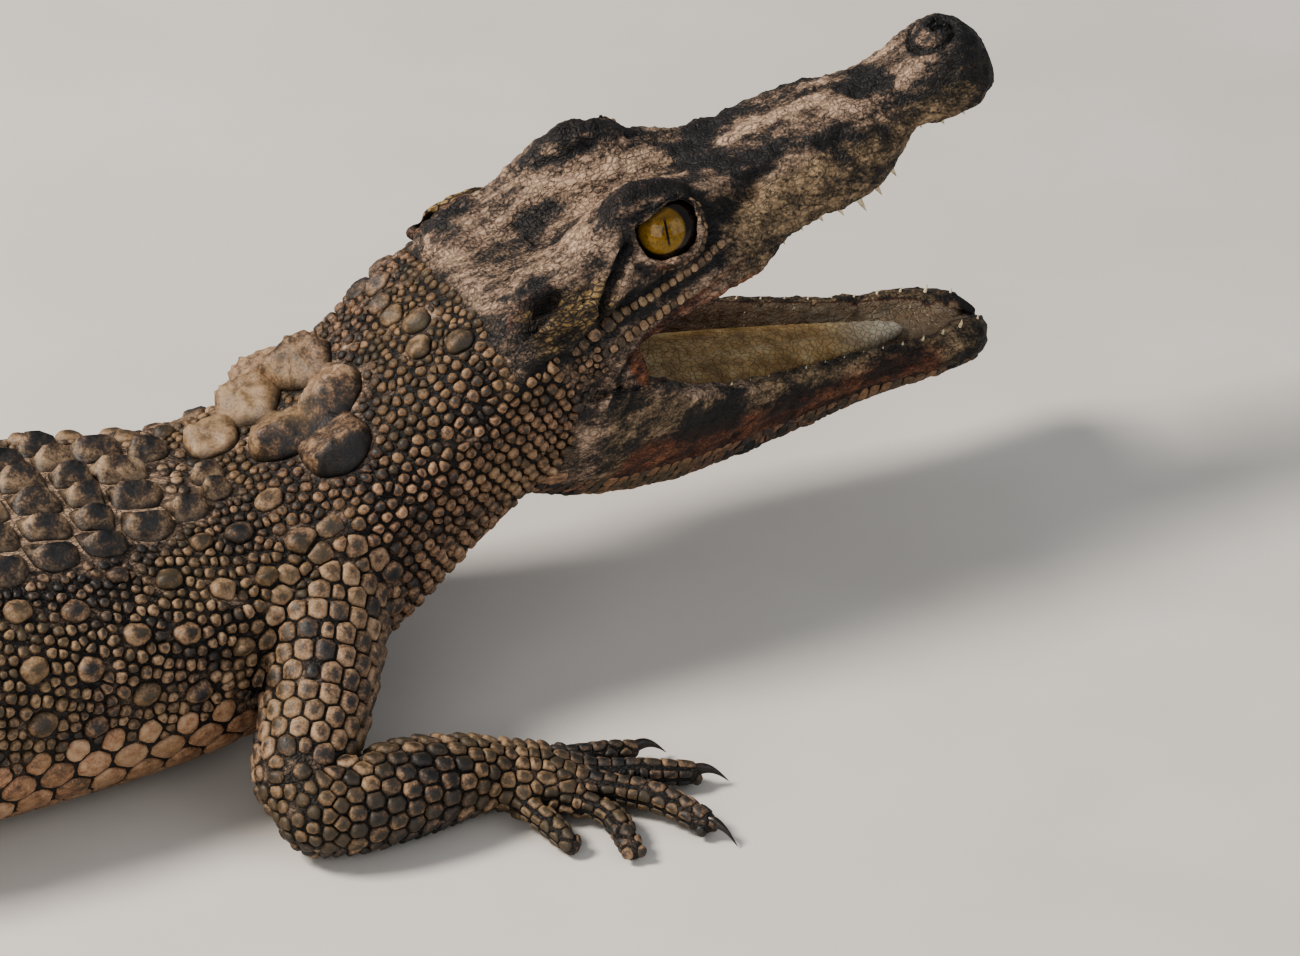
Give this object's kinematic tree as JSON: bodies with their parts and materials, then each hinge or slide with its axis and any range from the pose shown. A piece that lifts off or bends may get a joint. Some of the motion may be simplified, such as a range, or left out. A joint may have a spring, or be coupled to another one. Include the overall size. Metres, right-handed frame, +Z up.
{
  "type": "young nile crocodile, resting with its mouth open",
  "caption": "Life-size young Nile crocodile lying on its belly, head raised and jaws open, tail swept to one side; a still display model.",
  "frame": {"origin": "on the floor under the middle of the trunk, in the flat of the belly", "axes": "+X forward along the trunk, +Y to the animal's left, +Z up"},
  "size_m": [0.8443, 0.4177, 0.1306],
  "materials": {
    "skin_dark": "matt, scaled, blackish brown with tan",
    "skin_flank": "matt, beaded with tan scales on black",
    "skin_pale": "satin, pale brown with dark blotches",
    "tongue_flesh": "moist, cream yellow",
    "eye_gloss": "wet gloss, olive yellow with a slit pupil",
    "claw_horn": "polished dark horn",
    "tooth_ivory": "polished, translucent ivory"
  },
  "bodies": {
    "root": {"head": "skin_dark", "lower_jaw": "skin_pale", "tongue": "tongue_flesh", "eye_left": "eye_gloss", "ear_left": "skin_flank", "eye_right": "eye_gloss", "ear_right": "skin_flank", "neck": "skin_flank", "trunk": "skin_flank", "tail_base": "skin_dark", "tail_middle": "skin_dark", "tail_tip": "skin_dark", "upper_arm_left": "skin_dark", "forearm_left": "skin_dark", "hand_left": "skin_dark", "thigh_left": "skin_dark", "shank_left": "skin_dark", "foot_left": "skin_dark", "hand_claw_1_left": "claw_horn", "hand_claw_2_left": "claw_horn", "hand_claw_3_left": "claw_horn", "foot_claw_1_left": "claw_horn", "foot_claw_2_left": "claw_horn", "foot_claw_3_left": "claw_horn", "upper_arm_right": "skin_dark", "forearm_right": "skin_dark", "hand_right": "skin_dark", "thigh_right": "skin_dark", "shank_right": "skin_dark", "foot_right": "skin_dark", "hand_claw_1_right": "claw_horn", "hand_claw_2_right": "claw_horn", "hand_claw_3_right": "claw_horn", "foot_claw_1_right": "claw_horn", "foot_claw_2_right": "claw_horn", "foot_claw_3_right": "claw_horn"}
  },
  "joints": []
}
